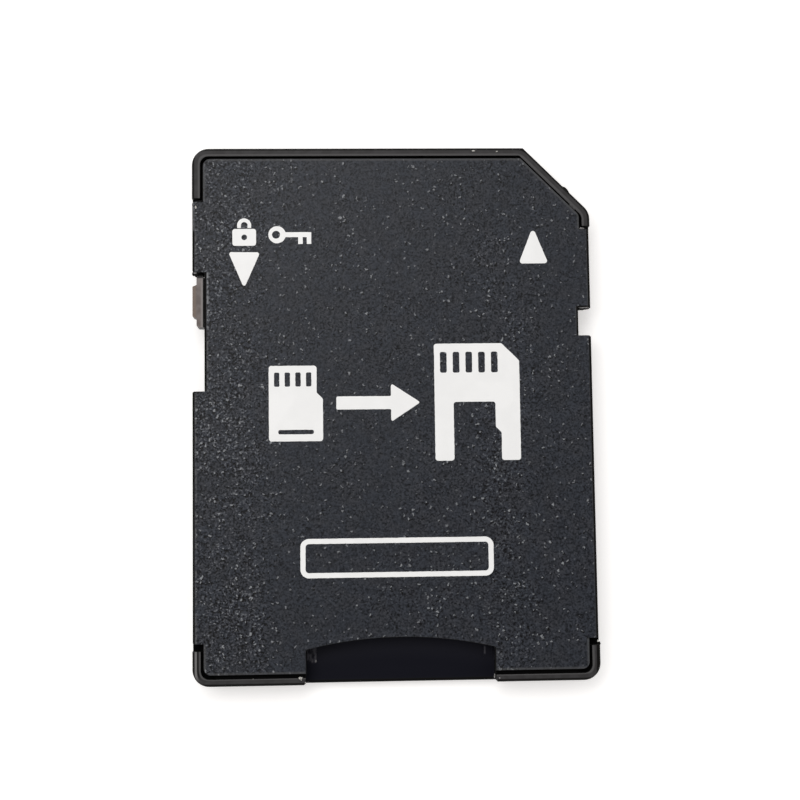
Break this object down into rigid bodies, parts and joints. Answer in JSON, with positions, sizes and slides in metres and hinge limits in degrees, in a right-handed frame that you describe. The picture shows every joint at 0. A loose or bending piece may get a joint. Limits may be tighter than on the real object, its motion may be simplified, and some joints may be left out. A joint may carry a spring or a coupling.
{
  "type": "memory card adapter",
  "caption": "Flat black plastic adapter that holds a small memory card in a full-size card slot, with gilded contacts and a sliding lock tab.",
  "frame": {"origin": "middle of the outline, on the back face that it lies on", "axes": "+X to the right and +Y to the contact end seen on the label side, +Z out of the label side"},
  "size_m": [0.024, 0.032, 0.0021],
  "materials": {
    "shell": "satin moulded black",
    "cover": "spark-eroded matt charcoal",
    "carrier": "matt black",
    "spring_steel": "bright rolled",
    "slider": "satin grey-brown",
    "gilded_leads": "gold plated"
  },
  "bodies": {
    "housing": {"back_shell": "shell", "front_cover": "cover", "contact_carrier": "carrier", "card_retainer": "spring_steel", "contact_data1": "gilded_leads", "contact_data0": "gilded_leads", "contact_ground": "gilded_leads", "contact_clock": "gilded_leads", "contact_supply": "gilded_leads", "contact_command": "gilded_leads", "contact_data3": "gilded_leads", "contact_data2": "gilded_leads"},
    "slider": {"lock_slider": "slider"}
  },
  "joints": [
    {"name": "lock_slide", "type": "slide", "parent": "housing", "child": "slider", "axis": [0, -1, 0], "range_m": [0, 0.0037]}
  ]
}
